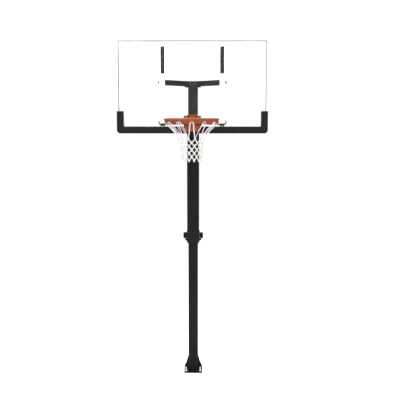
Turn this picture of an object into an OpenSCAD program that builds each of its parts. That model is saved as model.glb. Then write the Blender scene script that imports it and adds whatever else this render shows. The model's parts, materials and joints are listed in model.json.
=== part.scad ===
// Bolt-down basketball hoop with a telescoping square pole.
// Millimetres, +Z up, the board faces -Y. The origin is on the ground, under the middle
// of the anchor plate.

/* [Height] */
// Height of the rim above the ground at rest
rim_h = 2591; // [2540:1:2640]
// Travel of the head above the rest height
travel_up = 457.2; // [300:0.1:457.2]
// Travel of the head below the rest height
travel_down = 304.8; // [150:0.1:304.8]

/* [Foot] */
// Side of the square anchor plate
plate_w = 182; // [180:1:210]
// Thickness of the anchor plate
plate_t = 12; // [6:1:14]
// Diameter of the anchor studs below the ground
stud_d = 16; // [14:1:18]
// Diameter of their threaded upper ends
stud_top_d = 14; // [12:1:16]
// Distance between the studs, along X and along Y
stud_pitch = 142; // [140:1:150]
// Length of a stud above the ground
stud_above = 60; // [50:1:70]
// Length of a stud below the ground
stud_below = 150; // [100:1:250]
// Height of the gussets' top above the ground
gusset_top = 158; // [120:1:200]
// Half width of the foot, gussets included
gusset_reach = 89; // [80:0.5:90]
// Height of the gussets' outer edge above the ground
gusset_land = 52; // [25:1:70]

/* [Poles] */
// Outside width of the lower pole and of the top pole
pole_w = 96; // [94:1:98]
// Outside width of the sliding sleeve
sleeve_w = 120; // [118:1:122]
// Wall thickness of the poles and the sleeve
pole_wall = 4; // [3:0.5:5]
// Outside corner radius of the poles and the sleeve
pole_corner = 9; // [7:1:12]
// Height of the lower pole's top end
pole_top = 2100; // [2060:5:2100]
// Distance from the rim level down to the collar's lower end
collar_drop = 1253; // [1200:1:1260]
// Height of the collar
collar_h = 113; // [95:1:120]
// Outside width of the collar
collar_w = 134; // [130:1:140]
// Diameter of the clamp knobs
knob_d = 68; // [54:1:72]
// Distance from the middle of the pole to a knob's outer face
knob_reach = 99; // [95:1:105]

/* [Board] */
// Width of the board, edge trim included
board_w = 1372; // [1300:1:1400]
// Height of the board, edge trim included
board_h = 838; // [800:1:850]
// Distance from the rim level up to the board's top edge
board_rise = 707; // [690:1:715]
// Distance from the pole's axis to the front face of the glass
overhang = 460; // [430:1:500]
// Thickness of the tempered glass
glass_t = 5; // [4:0.5:8]
// Width of the printed lines and border
line_w = 51; // [40:1:60]
// Outside width of the printed target
target_w = 610; // [580:1:620]
// Outside height of the printed target
target_h = 457; // [440:1:470]
// Distance between the two uprights behind the board
upright_pitch = 552; // [540:1:556]
// Width of an upright
upright_w = 35; // [25:1:38]
// Depth of an upright, front to back
upright_d = 32; // [25:1:36]
// Visible width of the pads
pad_w = 65; // [55:1:75]
// Thickness of the pads in front of the board
pad_t = 18; // [12:1:22]

/* [Rim] */
// Inside diameter of the ring
ring_id = 457.2; // [450:0.1:460]
// Diameter of the ring's rod
ring_rod = 18; // [14:0.5:18]
// Gap from the glass to the inside edge of the ring
ring_gap = 152.4; // [150:0.1:160]
// Height of the brace band under the ring
brace_h = 38; // [35:1:50]
// Number of net hooks
hook_count = 12; // [12:1:12]
// Diameter of the ring's hinge pin
pin_d = 12; // [10:1:14]

/* [Hidden] */
$fn = 48;
// A cut runs this far past the face it opens
eps = 1;
// Gap between parts that slide on each other
slip = 0.3;
// Radial gap of a pin or screw that turns in its bore
turn_gap = 0.05;

// Colours
powder_black = [0.16, 0.16, 0.165];
plastic_black = [0.12, 0.12, 0.125];
pad_black = [0.14, 0.14, 0.145];
zinc = [0.78, 0.79, 0.8];
nylon_grey = [0.55, 0.55, 0.53];
rim_orange = [0.72, 0.3, 0.14];
print_white = [0.97, 0.97, 0.97];
glass_tint = [0.9, 0.96, 0.95, 0.3];
trim_grey = [0.72, 0.73, 0.74];
net_white = [0.95, 0.94, 0.92];

// Foot
washer_d = 30;
washer_t = 3;
nut_af = 22;
nut_h = 13;
gusset_t = 6;
gusset_bend = 90;

// Sliding parts
collar_z = rim_h - collar_drop;
liner_h = 38;
sleeve_z = collar_z + 44;
sleeve_top = rim_h + 9;
clamp_z = collar_z + 71;
screw_d = 12;
insert_d = 20;
clamp_pad_t = 5;
top_pole_z = rim_h - 158;
top_pole_top = rim_h + 342;
inner_w = sleeve_w - 2 * pole_wall;
strut_d = 28;
strut_rod_d = 12;
strut_z = 1180;
strut_top = pole_top - 15;
strut_pin_z = strut_z - 12;
rod_z = strut_top - travel_up - 40;
knob_x = collar_w / 2 + 1;
cap_plug = 8;

// Board and what carries it
print_t = 0.6;
frame_d = 18;
frame_h = 25;
trim_t = 2;
trim_lip = 5;
trim_front = 1.5;
glass_y = -overhang;
print_y = glass_y + glass_t;
frame_y = print_y + print_t;
upright_y = frame_y + frame_d;
foot_y = upright_y + upright_d;
foot_t = 6;
board_top = rim_h + board_rise;
board_bottom = board_top - board_h;
arm_h = 50;
arm_t = 25;
arm_wall = 2.5;
arm_end = [278, foot_y + foot_t];
// Direction in which the right arms run away from the pole, a unit vector
arm_dir = [0.5376, -0.8432];
arm_gap = 14;
foot_tip = 322;
foot_point = 17;
upper_arm_z = rim_h + 327;
lower_arm_z = rim_h - 43;
ear_t = 6;
ear_len = 72;
bracket_h = 62;
bracket_drop = 5;
bracket_bolt_x = 26;
plate_half = 52;
strap_t = 5;
channel_z = rim_h - 46;
channel_h = 42;
pad_low = rim_h - 145;
pad_side_top = rim_h + 62;
pad_out = 16.5;
pad_round = 33;
pad_screw_xs = [90, 290, 490, 640];
pad_screw_y = frame_y + frame_d / 2;

// Rim
rod_r = ring_rod / 2;
ring_r = ring_id / 2 + rod_r;
ring_y = glass_y - ring_gap - ring_id / 2;
ring_z = rim_h - rod_r;
brace_t = 4;
brace_half_angle = 112;
mount_t = 6;
mount_front = glass_y - mount_t;
mount_half = 54;
rim_bolt_x = 34;
rim_bolt_d = 10;
bush_d = 16;
rim_bolt_zs = [rim_h + 12, rim_h - 62];
standoff_half = 80;
hinge_y = glass_y - 45;
hinge_z = rim_h - 9;
ear_nose = 14;
lever_y = hinge_y - 23;
lever_t = 6;
carrier_half = 75.5;
spring_x = 20;
spring_z = rim_h - 46;
spring_r = 11;
spring_wire = 3.2;
spring_turns = 6;
spring_bolt_d = 8;
cover_front = glass_y - 130;
cover_t = 2.5;
cover_half = carrier_half + cover_t;
cover_low_half = 63;
cover_low = rim_h - 124;
cover_screw_y = lever_y - 32;
cover_screw_z = rim_h - 34;
hook_r = 231;
hook_wire = 4.5;
hook_bend = 9;
hook_low = ring_z - 26;

// ---- shared shapes ----

// Square with true round corners, centred
module rounded_square(w, r) {
    square([w - 2 * r, w], center = true);
    square([w, w - 2 * r], center = true);
    for (x = [-1, 1], y = [-1, 1])
        translate([x * (w / 2 - r), y * (w / 2 - r)])
            circle(r = r);
}

// Square tube that stands on z0 and ends at z1
module square_tube(w, wall, r, z0, z1) {
    translate([0, 0, z0])
        difference() {
            linear_extrude(height = z1 - z0) rounded_square(w, r);
            translate([0, 0, -eps])
                linear_extrude(height = z1 - z0 + 2 * eps) rounded_square(w - 2 * wall, max(r - wall, 1));
        }
}

// Box from its lowest corner to its highest
module box(low, high) {
    translate(low)
        cube(high - low);
}

// Rod along X, Y or Z that starts at p
module rod_x(p, d, len) {
    translate(p)
        rotate([0, 90, 0])
            cylinder(d = d, h = len);
}

module rod_y(p, d, len) {
    translate(p)
        rotate([-90, 0, 0])
            cylinder(d = d, h = len);
}

// Hexagon prism along Z that stands on z = 0
module hexagon(af, h) {
    cylinder(d = af / cos(30), h = h, $fn = 6);
}

// Bolt along +Y: hexagon head in front of p, shank behind it
module bolt_y(p, d, af, len, head_h) {
    rod_y(p, d, len);
    translate(p)
        rotate([90, 0, 0])
            hexagon(af, head_h);
}

// Nut around an axis along +Y that starts at p
module nut_y(p, d, af, h) {
    translate(p)
        rotate([-90, 0, 0])
            difference() {
                hexagon(af, h);
                translate([0, 0, -eps])
                    cylinder(d = d, h = h + 2 * eps);
            }
}

// Extrudes an outline drawn as (x, z) from y0 to y1
module slab_y(y0, y1) {
    translate([0, y1, 0])
        rotate([90, 0, 0])
            linear_extrude(height = y1 - y0) children();
}

// Extrudes an outline drawn as (y, z) from x0 to x1
module slab_x(x0, x1) {
    translate([x0, 0, 0])
        rotate([90, 0, 90])
            linear_extrude(height = x1 - x0) children();
}

// ---- foot ----

module at_studs() {
    for (x = [-1, 1], y = [-1, 1])
        translate([x * stud_pitch / 2, y * stud_pitch / 2, 0])
            children();
}

module anchor_studs() {
    color(zinc)
        at_studs()
            translate([0, 0, -stud_below])
                union() {
                    cylinder(d = stud_d, h = stud_below);
                    cylinder(d = stud_top_d, h = stud_below + stud_above);
                }
}

module anchor_washers() {
    color(zinc)
        at_studs()
            translate([0, 0, plate_t])
                difference() {
                    cylinder(d = washer_d, h = washer_t);
                    translate([0, 0, -eps])
                        cylinder(d = stud_top_d + 1, h = washer_t + 2 * eps);
                }
}

module anchor_nuts() {
    color(zinc)
        at_studs()
            translate([0, 0, plate_t + washer_t])
                difference() {
                    hexagon(nut_af, nut_h);
                    translate([0, 0, -eps])
                        cylinder(d = stud_top_d, h = nut_h + 2 * eps);
                }
}

module anchor_plate() {
    color(powder_black)
        difference() {
            linear_extrude(height = plate_t) rounded_square(plate_w, 6);
            at_studs()
                translate([0, 0, -eps])
                    cylinder(d = stud_top_d + 1.5, h = plate_t + 2 * eps);
        }
}

// One gusset in the XZ plane, against the pole's +X face
module gusset() {
    slab_y(-gusset_t / 2, gusset_t / 2)
        polygon([
            [pole_w / 2, plate_t],
            [gusset_reach, plate_t],
            [gusset_reach, gusset_land],
            [pole_w / 2 + 22, gusset_bend],
            [pole_w / 2 + 3, gusset_top],
            [pole_w / 2, gusset_top]
        ]);
}

module plate_gussets() {
    color(powder_black)
        for (a = [0 : 90 : 270])
            rotate([0, 0, a])
                gusset();
}

// ---- fixed pole ----

module lower_pole() {
    color(powder_black)
        difference() {
            square_tube(pole_w, pole_wall, pole_corner, plate_t, pole_top);
            rod_x([-pole_w, 0, strut_pin_z], screw_d, 2 * pole_w);
        }
}

// Nylon cap on the lower pole, which guides the inside of the sleeve
module upper_glide() {
    glide_h = 46;
    lid_t = 6;
    color(nylon_grey)
        difference() {
            translate([0, 0, pole_top - glide_h + lid_t])
                linear_extrude(height = glide_h) rounded_square(inner_w - 2 * slip, 5);
            translate([0, 0, pole_top - glide_h])
                linear_extrude(height = glide_h) rounded_square(pole_w, pole_corner);
            translate([0, 0, pole_top - eps])
                cylinder(d = strut_rod_d + 12, h = lid_t + 2 * eps);
        }
}

module strut_cylinder() {
    color(zinc)
        difference() {
            union() {
                translate([0, 0, strut_z])
                    cylinder(d = strut_d, h = strut_top - strut_z);
                translate([0, 0, strut_pin_z - 14])
                    cylinder(d = 22, h = 28);
            }
            translate([0, 0, strut_z + 20])
                cylinder(d = strut_rod_d + 2 * turn_gap, h = strut_top - strut_z);
            rod_x([-strut_d, 0, strut_pin_z], screw_d, 2 * strut_d);
        }
}

module strut_pin() {
    color(zinc)
        rod_x([-pole_w / 2 + 1, 0, strut_pin_z], screw_d, pole_w - 2);
}

// ---- sliding sleeve and collar ----

module sleeve() {
    color(powder_black)
        difference() {
            square_tube(sleeve_w, pole_wall, pole_corner, sleeve_z, sleeve_top);
            rod_x([-sleeve_w, 0, clamp_z], insert_d + 2, 2 * sleeve_w);
            bracket_bolt_holes(lower_arm_z, sleeve_w);
        }
}

// Ledge under a knob, which stiffens the collar's side
module collar_ledge() {
    tip = collar_w / 2 + 14;
    top = clamp_z - knob_d / 2 - 1.5;
    slab_y(-knob_d / 2 + 6, knob_d / 2 - 6)
        polygon([
            [collar_w / 2 - 12, collar_z + 12],
            [collar_w / 2 - 7, collar_z + 12],
            [tip, top - 6],
            [tip, top - 2],
            [tip - 2, top],
            [collar_w / 2 - 12, top]
        ]);
}

// Outline of the collar seen along X or Y
module collar_outline() {
    neck = sleeve_w / 2 - 1;
    half = collar_w / 2;
    polygon([
        [-neck, collar_z],
        [neck, collar_z],
        [neck, collar_z + 16],
        [half, collar_z + 40],
        [half, collar_z + collar_h - 5],
        [half - 5, collar_z + collar_h],
        [-half + 5, collar_z + collar_h],
        [-half, collar_z + collar_h - 5],
        [-half, collar_z + 40],
        [-neck, collar_z + 16]
    ]);
}

module collar() {
    color(plastic_black)
        difference() {
            union() {
                intersection() {
                    slab_y(-collar_w, collar_w) collar_outline();
                    slab_x(-collar_w, collar_w) collar_outline();
                    translate([0, 0, collar_z - eps])
                        linear_extrude(height = collar_h + 2 * eps) rounded_square(collar_w, 14);
                }
                for (side = [0, 1])
                    mirror([side, 0, 0]) collar_ledge();
            }
            translate([0, 0, collar_z - eps])
                linear_extrude(height = collar_h + 2 * eps) rounded_square(inner_w, 5);
            translate([0, 0, sleeve_z])
                linear_extrude(height = collar_h) rounded_square(sleeve_w, pole_corner);
            rod_x([-collar_w, 0, clamp_z], insert_d, 2 * collar_w);
        }
}

// Nylon bush in the collar, which guides the outside of the lower pole
module collar_liner() {
    color(nylon_grey)
        translate([0, 0, collar_z + 3])
            difference() {
                linear_extrude(height = liner_h) rounded_square(inner_w, 5);
                translate([0, 0, -eps])
                    linear_extrude(height = liner_h + 2 * eps)
                        rounded_square(pole_w + 2 * slip, pole_corner);
            }
}

// Threaded inserts of the clamp screws
module clamp_inserts() {
    color(zinc)
        for (side = [-1, 1])
            difference() {
                rod_x([side * 63.5 - 3.5, 0, clamp_z], insert_d, 7);
                rod_x([side * 63.5 - 3.5 - eps, 0, clamp_z], screw_d + 2 * turn_gap, 7 + 2 * eps);
            }
}

module clamp_pads() {
    color(nylon_grey)
        for (side = [-1, 1])
            rod_x([side * (pole_w / 2 + slip + clamp_pad_t / 2) - clamp_pad_t / 2, 0, clamp_z],
                insert_d, clamp_pad_t);
}

// Screw of the +X clamp, from its pad to the inside of the knob
module clamp_screw() {
    screw_x = pole_w / 2 + clamp_pad_t + 2 * slip;
    color(zinc)
        rod_x([screw_x, 0, clamp_z], screw_d, knob_reach - 12 - screw_x);
}

// Six-lobed knob of the +X clamp
module clamp_knob() {
    r = knob_d / 2;
    depth = knob_reach - knob_x;
    color(plastic_black)
        translate([knob_x, 0, clamp_z])
            rotate([0, 90, 0])
                difference() {
                    rotate_extrude($fn = 96)
                        polygon([
                            [0, 0],
                            [r - 5, 0],
                            [r, 5],
                            [r, depth - 8],
                            [r - 2.4, depth - 2.4],
                            [r - 8, depth],
                            [0, depth]
                        ]);
                    for (a = [0 : 60 : 300])
                        rotate([0, 0, a])
                            translate([r + 9, 0, -eps])
                                cylinder(r = 13, h = depth + 2 * eps);
                    translate([0, 0, -eps])
                        cylinder(d = screw_d, h = depth - 12 + eps);
                }
}

module left_clamp_screw() {
    mirror([1, 0, 0]) clamp_screw();
}

module right_clamp_screw() {
    clamp_screw();
}

module left_knob() {
    mirror([1, 0, 0]) clamp_knob();
}

module right_knob() {
    clamp_knob();
}

module strut_rod() {
    color(zinc)
        translate([0, 0, rod_z])
            cylinder(d = strut_rod_d, h = top_pole_z + 18 - rod_z);
}

// ---- top pole ----

// Holes along Y of the two bolts that hold a pole bracket
module bracket_bolt_holes(z, depth) {
    for (x = [-1, 1])
        rod_y([x * bracket_bolt_x, -depth, z], 10, 2 * depth);
}

module top_pole() {
    color(powder_black)
        difference() {
            square_tube(pole_w, pole_wall, pole_corner, top_pole_z, top_pole_top);
            bracket_bolt_holes(lower_arm_z, pole_w);
            bracket_bolt_holes(upper_arm_z, pole_w);
        }
}

// Plug in the top pole's lower end, which takes the end of the strut's rod
module top_pole_plug() {
    color(nylon_grey)
        translate([0, 0, top_pole_z])
            difference() {
                linear_extrude(height = 30) rounded_square(pole_w - 2 * pole_wall, 5);
                translate([0, 0, -eps])
                    cylinder(d = strut_rod_d, h = 18 + eps);
            }
}

// Packing ring that fills the space between the top pole and the sleeve
module sleeve_reducer() {
    color(plastic_black)
        difference() {
            union() {
                translate([0, 0, sleeve_top])
                    linear_extrude(height = 4) rounded_square(sleeve_w, pole_corner);
                translate([0, 0, sleeve_top - 30])
                    linear_extrude(height = 32) rounded_square(inner_w, 5);
            }
            translate([0, 0, sleeve_top - 30 - eps])
                linear_extrude(height = 34 + 2 * eps) rounded_square(pole_w, pole_corner);
        }
}

module top_cap() {
    color(plastic_black) {
        translate([0, 0, top_pole_top])
            intersection() {
                linear_extrude(height = 8) rounded_square(pole_w, pole_corner);
                cylinder(r1 = pole_w, r2 = pole_w - 30, h = 30, $fn = 96);
            }
        translate([0, 0, top_pole_top - cap_plug])
            linear_extrude(height = cap_plug + eps) rounded_square(pole_w - 2 * pole_wall, 5);
    }
}

// ---- pole brackets and arms ----

// Inner end of the right arm's middle line, in front of a pole of width w, and the line's angle
function arm_start(w) = [
    arm_end[0] - arm_dir[0] / arm_dir[1] * (arm_end[1] + w / 2 + arm_gap),
    -w / 2 - arm_gap
];
arm_angle = atan2(arm_dir[1], arm_dir[0]);

// Plate against the pole's front with two ears that the arms bolt to
module pole_bracket(w, z) {
    low = z - bracket_drop - bracket_h / 2;
    color(powder_black)
        difference() {
            union() {
                box([-plate_half, -w / 2 - ear_t, low], [plate_half, -w / 2, low + bracket_h]);
                for (side = [0, 1])
                    mirror([side, 0, 0])
                        translate([arm_start(w)[0], arm_start(w)[1], low])
                            rotate([0, 0, arm_angle])
                                translate([-24, -arm_t / 2 - ear_t, 0])
                                    cube([ear_len, ear_t, bracket_h]);
            }
            bracket_bolt_holes(z, w);
            arm_inner_holes(w, z);
        }
}

// Holes across the inner ends of both arms and the bracket's ears
module arm_inner_holes(w, z) {
    for (side = [0, 1])
        mirror([side, 0, 0])
            translate([arm_start(w)[0], arm_start(w)[1], z])
                rotate([0, 0, arm_angle])
                    rod_y([26, -arm_t, 0], 12, 2 * arm_t);
}

module upper_pole_bracket() {
    pole_bracket(pole_w, upper_arm_z);
}

module lower_pole_bracket() {
    pole_bracket(sleeve_w, lower_arm_z);
}

// Flat straps behind the poles, under the nuts of the bracket bolts
module bracket_straps() {
    half = 45;
    color(powder_black)
        for (bracket = [[pole_w, upper_arm_z], [sleeve_w, lower_arm_z]]) {
            w = bracket[0];
            z = bracket[1];
            difference() {
                box([-half, w / 2, z - 20], [half, w / 2 + strap_t, z + 20]);
                bracket_bolt_holes(z, w);
            }
        }
}

// Right arm: rectangular tube from the bracket's ear to a foot behind the upright
module arm(w, z) {
    p = arm_start(w);
    len = norm(arm_end - p);
    color(powder_black)
        difference() {
            union() {
                difference() {
                    translate([p[0], p[1], z])
                        rotate([0, 0, arm_angle])
                            difference() {
                                box([-4, -arm_t / 2, -arm_h / 2], [len + 30, arm_t / 2, arm_h / 2]);
                                box([-10, -arm_t / 2 + arm_wall, -arm_h / 2 + arm_wall],
                                    [len + 31, arm_t / 2 - arm_wall, arm_h / 2 - arm_wall]);
                            }
                    box([0, foot_y - 100, z - arm_h], [500, foot_y + foot_t / 2, z + arm_h]);
                }
                slab_y(foot_y, foot_y + foot_t)
                    polygon([
                        [246, z - arm_h / 2],
                        [foot_tip - foot_point, z - arm_h / 2],
                        [foot_tip, z],
                        [foot_tip - foot_point, z + arm_h / 2],
                        [246, z + arm_h / 2]
                    ]);
            }
            arm_inner_holes(w, z);
            for (dz = [-14, 14])
                rod_y([upright_pitch / 2, foot_y - eps, z + dz], 8, foot_t + 2 * eps);
        }
}

module upper_right_arm() {
    arm(pole_w, upper_arm_z);
}

module upper_left_arm() {
    mirror([1, 0, 0]) arm(pole_w, upper_arm_z);
}

module lower_right_arm() {
    arm(sleeve_w, lower_arm_z);
}

module lower_left_arm() {
    mirror([1, 0, 0]) arm(sleeve_w, lower_arm_z);
}

// Bolts through the poles that hold both brackets, with their nuts
module bracket_bolts() {
    color(zinc)
        for (bracket = [[pole_w, upper_arm_z], [sleeve_w, lower_arm_z]], x = [-1, 1]) {
            w = bracket[0];
            front = [x * bracket_bolt_x, -w / 2 - ear_t, bracket[1]];
            bolt_y(front, 10, 16, w + ear_t + strap_t + 14, 7);
            nut_y(front + [0, w + ear_t + strap_t, 0], 10, 16, 9);
        }
}

// Bolts at both ends of the arms, with their nuts
module arm_bolts() {
    color(zinc)
        for (end = [[pole_w, upper_arm_z], [sleeve_w, lower_arm_z]], side = [0, 1])
            mirror([side, 0, 0]) {
                w = end[0];
                z = end[1];
                translate([arm_start(w)[0], arm_start(w)[1], z])
                    rotate([0, 0, arm_angle]) {
                        bolt_y([26, -arm_t / 2 - ear_t, 0], 12, 18, arm_t + ear_t + 16, 8);
                        nut_y([26, arm_t / 2, 0], 12, 18, 10);
                    }
                for (dz = [-14, 14]) {
                    bolt_y([upright_pitch / 2, upright_y, z + dz], 8, 13, upright_d + foot_t + 12, 5.5);
                    nut_y([upright_pitch / 2, foot_y + foot_t, z + dz], 8, 13, 7);
                }
            }
}

// ---- uprights and cross channel ----

module upright(side) {
    x = side * upright_pitch / 2;
    h = upright_w / 2;
    color(powder_black)
        difference() {
            box([x - h, upright_y, board_bottom + 4], [x + h, foot_y, board_top - 4]);
            box([x - h + 2, upright_y + 2, board_bottom - eps], [x + h - 2, foot_y - 2, board_top + eps]);
            for (z = [upper_arm_z, lower_arm_z], dz = [-14, 14])
                rod_y([x, upright_y - eps, z + dz], 8, upright_d + 2 * eps);
            for (z = [board_bottom + 15, board_top - 15])
                rod_y([x, upright_y - eps, z], 6, upright_d + 2 * eps);
        }
}

module left_upright() {
    upright(-1);
}

module right_upright() {
    upright(1);
}

// Screws that hold the uprights to the board's frame, heads at the back
module upright_bolts() {
    color(zinc)
        for (x = [-1, 1], z = [board_bottom + 15, board_top - 15])
            translate([x * upright_pitch / 2, foot_y, z])
                mirror([0, 1, 0])
                    bolt_y([0, 0, 0], 6, 10, upright_d + frame_d - 0.5, 4);
}

module cross_channel() {
    half = (upright_pitch - upright_w) / 2;
    color(powder_black)
        difference() {
            box([-half, upright_y, channel_z], [half, foot_y, channel_z + channel_h]);
            box([-half - eps, upright_y + 3, channel_z + 3],
                [half + eps, foot_y + eps, channel_z + channel_h - 3]);
        }
}

// ---- board ----

// Flat rectangular ring around the board, from y0 to y1, w wide, set in by inset
module board_ring(inset, w, y0, y1) {
    half = board_w / 2 - inset;
    difference() {
        box([-half, y0, board_bottom + inset], [half, y1, board_top - inset]);
        box([-half + w, y0 - eps, board_bottom + inset + w], [half - w, y1 + eps, board_top - inset - w]);
    }
}

// Channel-section frame behind the glass, open to the back
module board_frame() {
    color(powder_black)
        difference() {
            board_ring(trim_t, frame_h, frame_y, upright_y);
            board_ring(trim_t + 2, frame_h - 4, frame_y + 2, upright_y + eps);
            for (x = [-1, 1], z = [board_bottom + 15, board_top - 15])
                rod_y([x * upright_pitch / 2, frame_y - eps, z], 6, frame_d);
            pad_screw_holes();
        }
}

module glass_board() {
    half = board_w / 2 - trim_t;
    color(glass_tint)
        difference() {
            box([-half, glass_y, board_bottom + trim_t], [half, print_y, board_top - trim_t]);
            for (x = [-1, 1], z = rim_bolt_zs)
                rod_y([x * rim_bolt_x, glass_y - eps, z], bush_d, glass_t + 2 * eps);
        }
}

// Rubber bushes that keep the rim bolts off the glass
module glass_bushes() {
    color(plastic_black)
        for (x = [-1, 1], z = rim_bolt_zs)
            difference() {
                rod_y([x * rim_bolt_x, glass_y, z], bush_d, glass_t);
                rod_y([x * rim_bolt_x, glass_y - eps, z], rim_bolt_d, glass_t + 2 * eps);
            }
}

// White border band and shooting target on the back of the glass
module board_print() {
    half = target_w / 2;
    low = rim_h - line_w;
    color(print_white)
        difference() {
            union() {
                board_ring(trim_t, line_w - 2, print_y, frame_y);
                difference() {
                    box([-half, print_y, low], [half, frame_y, low + target_h]);
                    box([-half + line_w, print_y - eps, rim_h],
                        [half - line_w, frame_y + eps, low + target_h - line_w]);
                }
            }
            for (x = [-1, 1])
                rod_y([x * rim_bolt_x, print_y - eps, rim_bolt_zs[1]], rim_bolt_d, print_t + 2 * eps);
        }
}

module edge_trim() {
    color(trim_grey)
        difference() {
            union() {
                board_ring(0, trim_t, glass_y, upright_y);
                board_ring(0, trim_t + trim_lip, glass_y - trim_front, glass_y);
            }
            pad_screw_holes();
        }
}

// L-shaped pad at the lower right corner: front face, side and underside
module pad() {
    outer = board_w / 2 + pad_out;
    color(pad_black)
        difference() {
            slab_y(glass_y - trim_front - pad_t, upright_y)
                difference() {
                    translate([0.5, pad_low])
                        square([outer - 0.5, pad_side_top - pad_low]);
                    translate([0, pad_low + pad_w])
                        square([outer - pad_w, pad_side_top]);
                    translate([outer - pad_round, pad_low])
                        difference() {
                            translate([0, -eps])
                                square([pad_round + eps, pad_round + eps]);
                            translate([0, pad_round])
                                circle(r = pad_round, $fn = 96);
                        }
                }
            box([-eps, glass_y - trim_front, board_bottom], [board_w / 2, upright_y + eps, board_top]);
            pad_screw_holes();
            for (x = pad_screw_xs)
                translate([x, pad_screw_y, pad_low - eps])
                    cylinder(d = 10, h = 4 + eps);
        }
}

// Holes of the pad screws through the rubber, the trim and the frame's lower wall
module pad_screw_holes() {
    for (side = [-1, 1], x = pad_screw_xs)
        translate([side * x, pad_screw_y, pad_low])
            cylinder(d = 5, h = board_bottom - pad_low + 5);
}

module right_pad() {
    pad();
}

module left_pad() {
    mirror([1, 0, 0]) pad();
}

// Screws that hold the pads from below, sunk in the rubber
module pad_screws() {
    color(zinc)
        for (side = [-1, 1], x = pad_screw_xs)
            translate([side * x, pad_screw_y, pad_low + 1]) {
                cylinder(d = 10, h = 3);
                cylinder(d = 5, h = board_bottom - pad_low + 6);
            }
}

// ---- rim mounting ----

// Steel box behind the glass, open at its two sides
module rim_standoff() {
    color(powder_black)
        difference() {
            box([-standoff_half, frame_y, rim_h - 100], [standoff_half, upright_y, rim_h + 18]);
            box([-standoff_half - eps, frame_y + 4, rim_h - 96],
                [standoff_half + eps, upright_y - 4, rim_h + 14]);
            for (x = [-1, 1], z = rim_bolt_zs)
                rod_y([x * rim_bolt_x, frame_y - eps, z], rim_bolt_d, frame_d + 2 * eps);
        }
}

// Plate in front of the glass with the two ears of the hinge
module rim_mount_plate() {
    ear_w = 6;
    color(rim_orange)
        difference() {
            union() {
                slab_y(mount_front, glass_y)
                    polygon([
                        [-mount_half, rim_h - 78],
                        [mount_half, rim_h - 78],
                        [mount_half, rim_h + 18],
                        [mount_half - 10, rim_h + 28],
                        [-mount_half + 10, rim_h + 28],
                        [-mount_half, rim_h + 18]
                    ]);
                for (side = [0, 1])
                    mirror([side, 0, 0]) {
                        box([mount_half - ear_w, hinge_y, hinge_z - ear_nose],
                            [mount_half, mount_front, hinge_z + ear_nose]);
                        rod_x([mount_half - ear_w, hinge_y, hinge_z], 2 * ear_nose, ear_w);
                    }
            }
            rod_x([-mount_half - eps, hinge_y, hinge_z], pin_d, 2 * mount_half + 2 * eps);
            for (x = [-1, 1], z = rim_bolt_zs)
                rod_y([x * rim_bolt_x, mount_front - eps, z], rim_bolt_d, mount_t + 2 * eps);
            for (x = [-1, 1])
                rod_y([x * spring_x, mount_front - eps, spring_z], spring_bolt_d, mount_t + 2 * eps);
        }
}

module rim_bolts() {
    color(zinc)
        for (x = [-1, 1], z = rim_bolt_zs) {
            bolt_y([x * rim_bolt_x, mount_front, z], rim_bolt_d, 16, upright_y - mount_front + 14, 7);
            nut_y([x * rim_bolt_x, upright_y, z], rim_bolt_d, 16, 9);
        }
}

// Pin through both ears and the carrier's knuckle, with a head and a lock ring
module hinge_pin() {
    color(zinc) {
        rod_x([-mount_half - 6, hinge_y, hinge_z], pin_d, 2 * mount_half + 12);
        rod_x([mount_half + 0.5, hinge_y, hinge_z], pin_d + 8, 4);
        rod_x([-mount_half - 4.5, hinge_y, hinge_z], pin_d + 8, 4);
    }
}

// Bolts fixed in the mount plate; their nuts stop the carrier at rest
module spring_bolts() {
    stop_y = lever_y - lever_t;
    color(zinc)
        for (x = [-1, 1]) {
            rod_y([x * spring_x, stop_y - 12, spring_z], spring_bolt_d, glass_y - stop_y + 12);
            nut_y([x * spring_x, stop_y - 8.5, spring_z], spring_bolt_d, 14, 7);
            difference() {
                rod_y([x * spring_x, stop_y - 1.5, spring_z], 26, 1.5 - slip);
                rod_y([x * spring_x, stop_y - 2, spring_z], spring_bolt_d, 4);
            }
        }
}

// Helical tube: rings of points around the coil, joined into one closed skin
module coil(r, wire, len, turns) {
    sides = 8;
    rings = turns * 16;
    points = [
        for (i = [0 : rings], j = [0 : sides - 1])
            let (
                a = i * 360 / 16,
                b = j * 360 / sides,
                rr = r + wire / 2 * cos(b)
            )
            [rr * cos(a), rr * sin(a), wire / 2 + (len - wire) * i / rings + wire / 2 * sin(b)]
    ];
    walls = [
        for (i = [0 : rings - 1], j = [0 : sides - 1])
            let (k = (j + 1) % sides)
            [i * sides + j, i * sides + k, (i + 1) * sides + k, (i + 1) * sides + j]
    ];
    ends = [
        [for (j = [sides - 1 : -1 : 0]) j],
        [for (j = [0 : sides - 1]) rings * sides + j]
    ];
    polyhedron(points = points, faces = concat(walls, ends), convexity = 10);
}

module rim_springs() {
    gap = 0.5;
    length = mount_front - lever_y - 2 * gap;
    color(zinc)
        for (x = [-1, 1])
            translate([x * spring_x, mount_front - gap, spring_z])
                rotate([90, 0, 0])
                    coil(spring_r - spring_wire / 2, spring_wire, length, spring_turns);
}

// ---- parts that tip with the ring ----

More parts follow.
